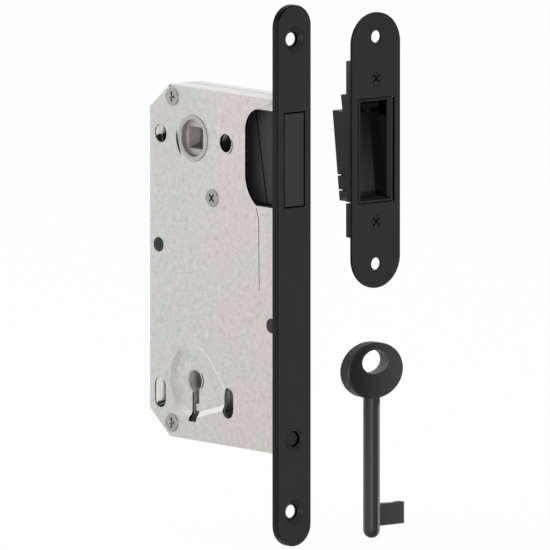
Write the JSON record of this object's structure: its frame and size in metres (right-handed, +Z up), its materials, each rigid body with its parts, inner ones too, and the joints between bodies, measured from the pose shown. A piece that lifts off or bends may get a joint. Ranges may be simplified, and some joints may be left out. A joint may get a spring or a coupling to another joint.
{
  "type": "magnetic mortise lock",
  "caption": "Magnetic mortise lock with steel case, black forend and flush magnetic latch, standing with its black strike plate and its key.",
  "frame": {"origin": "centre of the forend's front face", "axes": "+X out of the forend's front face, +Z up along the forend, +Y across the door's edge"},
  "size_m": [0.0759, 0.0611, 0.2006],
  "materials": {
    "black_steel": "matt black powder coat",
    "case_steel": "galvanised, satin",
    "bright_steel": "zinc plated",
    "follower_zinc": "die-cast zinc, tumbled",
    "black_plastic": "glass-filled nylon, matt",
    "dark_stud": "dark grey, matt",
    "magnet": "nickel plated",
    "spring_steel": "drawn wire",
    "lever_brass": "stamped brass",
    "key_black": "die-cast zinc, painted matt black"
  },
  "bodies": {
    "lock_body": {"forend": "black_steel", "case_tray": "case_steel", "case_cover": "case_steel", "screw_pillars": "bright_steel", "case_screws": "bright_steel", "locating_studs": "dark_stud", "forend_block": "follower_zinc", "forend_screw": "black_steel", "latch_guide": "black_plastic", "retractor_studs": "bright_steel", "slide_studs": "bright_steel", "bar_studs": "bright_steel", "lever_pivot": "bright_steel", "latch_spring": "spring_steel", "follower_spring": "spring_steel"},
    "latch": {"latch_head": "black_plastic", "latch_carrier": "black_plastic", "latch_magnet": "magnet", "latch_tail": "bright_steel", "latch_rivets": "bright_steel"},
    "follower": {"follower": "follower_zinc", "follower_pin": "bright_steel"},
    "retractor": {"retractor": "bright_steel"},
    "key_slide": {"key_slide": "bright_steel"},
    "lock_bar": {"lock_bar": "bright_steel"},
    "lever": {"tumbler_lever": "lever_brass", "lever_spring": "spring_steel"},
    "strike": {"strike_plate": "black_steel", "strike_tray": "black_plastic", "strike_magnet": "magnet", "strike_screws": "black_steel"},
    "key": {"key": "key_black"}
  },
  "joints": [
    {"name": "latch_slide", "type": "slide", "parent": "lock_body", "child": "latch", "axis": [1, 0, 0], "range_m": [0, 0.0105], "stiffness_N_per_m": 20, "deforming": ["latch_spring"]},
    {"name": "follower_turn", "type": "hinge", "parent": "lock_body", "child": "follower", "pos_m": [-0.05, 0, 0.0466], "axis": [0, 1, 0], "range_deg": [0, 40], "stiffness_Nm_per_rad": 0.4},
    {"name": "retractor_slide", "type": "slide", "parent": "lock_body", "child": "retractor", "axis": [-1, 0, 0], "range_m": [0, 0.00996], "deforming": ["follower_spring"]},
    {"name": "key_slide_travel", "type": "slide", "parent": "lock_body", "child": "key_slide", "axis": [1, 0, 0], "range_m": [0, 0.008]},
    {"name": "lock_bar_lift", "type": "slide", "parent": "lock_body", "child": "lock_bar", "axis": [0, 0, 1], "range_m": [0, 0.004]},
    {"name": "lever_lift", "type": "hinge", "parent": "lock_body", "child": "lever", "pos_m": [-0.0675, 0, -0.0246], "axis": [0, -1, 0], "range_deg": [0, 8], "stiffness_Nm_per_rad": 0.05, "deforming": ["lever_spring"]},
    {"name": "door_swing", "type": "hinge", "parent": "lock_body", "child": "strike", "pos_m": [0.00175, 0.0193, 0], "axis": [0, 0, -1], "range_deg": [0, 180]},
    {"name": "key_turn", "type": "hinge", "parent": "lock_body", "child": "key", "pos_m": [-0.0027, 0.0387, -0.06], "axis": [0, 0, 1], "continuous": true}
  ],
  "couplings": [
    {"joint": "retractor_slide", "follows": "follower_turn", "m_per_rad": 0.014271},
    {"joint": "lock_bar_lift", "follows": "key_slide_travel", "ratio": 0.5}
  ]
}
